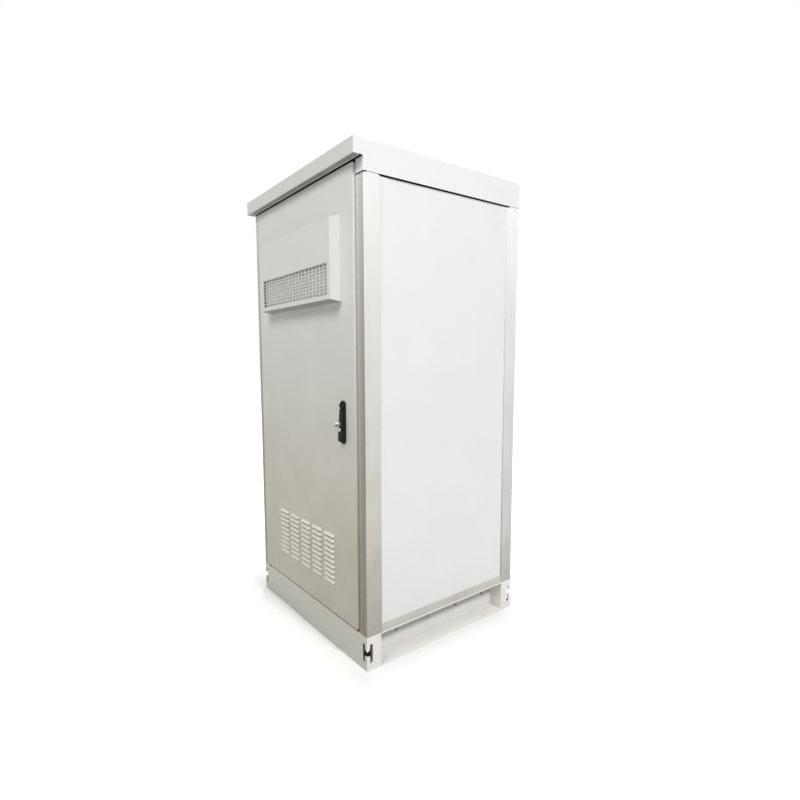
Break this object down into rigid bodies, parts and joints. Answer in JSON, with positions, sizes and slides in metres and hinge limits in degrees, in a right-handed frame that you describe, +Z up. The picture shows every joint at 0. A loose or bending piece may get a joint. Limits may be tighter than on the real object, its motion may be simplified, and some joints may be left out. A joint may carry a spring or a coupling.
{
  "type": "outdoor equipment cabinet",
  "caption": "Floor-standing outdoor equipment cabinet on a bolted plinth, with a louvred lockable door, a vent hood with fans, a swing handle with rod lock and an overhanging roof cap.",
  "frame": {"origin": "centre of the plinth's footprint on the floor, the centre of the anchor bolt pattern", "axes": "+Z up, the door faces -Y, +X to the right seen from the front"},
  "size_m": [0.8, 0.861, 1.8],
  "materials": {
    "plinth_paint": "matt light grey paint",
    "wall_paint": "satin off-white powder coat",
    "door_paint": "satin light grey powder coat",
    "post_metal": "satin bare metal",
    "zinc_steel": "zinc-plated steel",
    "black_coat": "black coated die casting",
    "bright_chrome": "bright plated",
    "black_plastic": "moulded black plastic",
    "red_plastic": "moulded red insulator",
    "black_rubber": "soft black rubber",
    "bar_brass": "plain drawn metal",
    "filter_felt": "loose filter felt"
  },
  "bodies": {
    "cabinet": {"plinth_front": "plinth_paint", "plinth_rear": "plinth_paint", "plinth_channel_right": "plinth_paint", "plinth_channel_left": "plinth_paint", "frame_bolts": "zinc_steel", "post_front_right": "post_metal", "post_front_left": "post_metal", "post_rear_right": "post_metal", "post_rear_left": "post_metal", "bottom_rail_right": "post_metal", "bottom_rail_left": "post_metal", "bottom_rail_rear": "post_metal", "top_rail_right": "zinc_steel", "top_rail_left": "zinc_steel", "top_rail_rear": "zinc_steel", "side_panel_right": "wall_paint", "side_panel_left": "wall_paint", "rear_panel": "wall_paint", "bottom_rail_front": "post_metal", "top_rail_front": "post_metal", "ceiling_plate": "zinc_steel", "roof_bearers": "zinc_steel", "roof_cap": "wall_paint", "floor_plate": "zinc_steel", "gland_plate": "zinc_steel", "cable_grommets": "black_rubber", "rack_rail_front_right": "zinc_steel", "rack_rail_front_left": "zinc_steel", "rack_rail_rear_right": "zinc_steel", "rack_rail_rear_left": "zinc_steel", "earth_insulators": "red_plastic", "earth_bar": "bar_brass", "hinge_bracket_lower": "zinc_steel", "hinge_bracket_upper": "zinc_steel", "lock_keepers": "zinc_steel"},
    "door": {"door_panel": "door_paint", "door_gasket": "black_rubber", "door_stiffeners": "zinc_steel", "hinge_bushes": "bar_brass", "vent_hood": "door_paint", "hood_grille": "door_paint", "hood_mat": "filter_felt", "fan_frame_left": "black_plastic", "fan_frame_right": "black_plastic", "fan_guards": "bright_chrome", "filter_frame": "zinc_steel", "filter_mat": "filter_felt", "handle_housing": "black_coat", "lock_case": "zinc_steel", "rod_guides": "black_plastic"},
    "left_fan": {"fan_rotor_left": "black_plastic"},
    "right_fan": {"fan_rotor_right": "black_plastic"},
    "spindle": {"lock_spindle": "black_coat", "lever_pin": "zinc_steel"},
    "lever": {"handle_lever": "black_coat"},
    "key": {"lock_plug": "bright_chrome", "door_key": "bright_chrome"},
    "button": {"release_button": "bright_chrome"},
    "upper_lock_rod": {"upper_rod": "zinc_steel"},
    "lower_lock_rod": {"lower_rod": "zinc_steel"}
  },
  "joints": [
    {"name": "door_swing", "type": "hinge", "parent": "cabinet", "child": "door", "pos_m": [-0.343, -0.402, 0], "axis": [0, 0, -1], "range_deg": [0, 115]},
    {"name": "left_fan_spin", "type": "hinge", "parent": "door", "child": "left_fan", "pos_m": [-0.086, -0.391, 1.509], "axis": [0, 1, 0], "continuous": true},
    {"name": "right_fan_spin", "type": "hinge", "parent": "door", "child": "right_fan", "pos_m": [0.126, -0.391, 1.509], "axis": [0, 1, 0], "continuous": true},
    {"name": "handle_turn", "type": "hinge", "parent": "door", "child": "spindle", "pos_m": [0.29, -0.4168, 0.938], "axis": [0, 1, 0], "range_deg": [0, 90]},
    {"name": "handle_lift", "type": "hinge", "parent": "spindle", "child": "lever", "pos_m": [0.29, -0.4168, 0.938], "axis": [-1, 0, 0], "range_deg": [0, 30]},
    {"name": "key_turn", "type": "hinge", "parent": "lever", "child": "key", "pos_m": [0.29, -0.4283, 0.874], "axis": [0, 1, 0], "range_deg": [0, 90]},
    {"name": "button_press", "type": "slide", "parent": "lever", "child": "button", "axis": [0, 1, 0], "range_m": [0, 0.002], "stiffness_N_per_m": 400, "springref_m": -0.002},
    {"name": "upper_rod_slide", "type": "slide", "parent": "door", "child": "upper_lock_rod", "axis": [0, 0, 1], "range_m": [-0.01595, 0]},
    {"name": "lower_rod_slide", "type": "slide", "parent": "door", "child": "lower_lock_rod", "axis": [0, 0, 1], "range_m": [0, 0.01595]}
  ],
  "couplings": [
    {"joint": "upper_rod_slide", "follows": "handle_turn", "m_per_rad": -0.01015},
    {"joint": "lower_rod_slide", "follows": "handle_turn", "m_per_rad": 0.01015}
  ]
}
